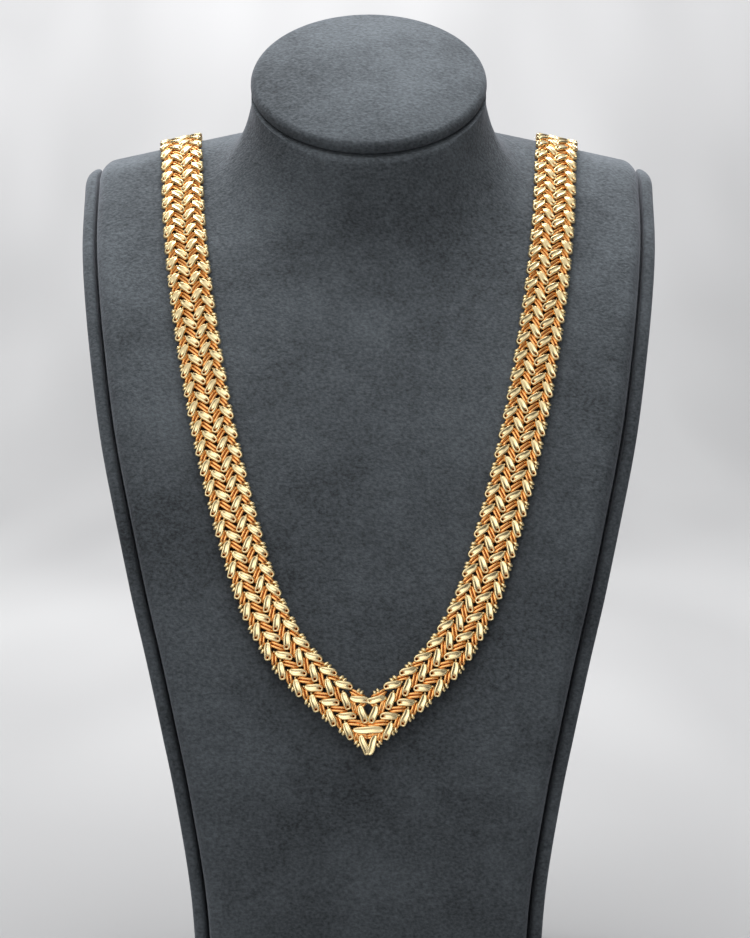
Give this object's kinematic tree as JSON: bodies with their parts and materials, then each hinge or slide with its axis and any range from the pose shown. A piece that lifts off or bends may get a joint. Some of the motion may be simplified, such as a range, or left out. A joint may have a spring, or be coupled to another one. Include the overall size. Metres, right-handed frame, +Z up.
{
  "type": "franco chain necklace on a neck bust",
  "caption": "Woven flat chain necklace with a V point, laid over a padded neck bust with a slanted neck cap; it stands on its own flat base.",
  "frame": {"origin": "middle of the whole part's box at the bottom, where the bust stands on the table", "axes": "+Z up, -Y out of the bust's padded front, +X to the right as seen from the front"},
  "size_m": [0.1864, 0.1331, 0.3162],
  "materials": {
    "suede": "napped suede, slate grey",
    "gold": "polished yellow gold"
  },
  "bodies": {
    "root": {"bust_front": "suede", "bust_back": "suede", "neck_cap": "suede", "chain": "gold", "clasp": "gold"}
  },
  "joints": []
}
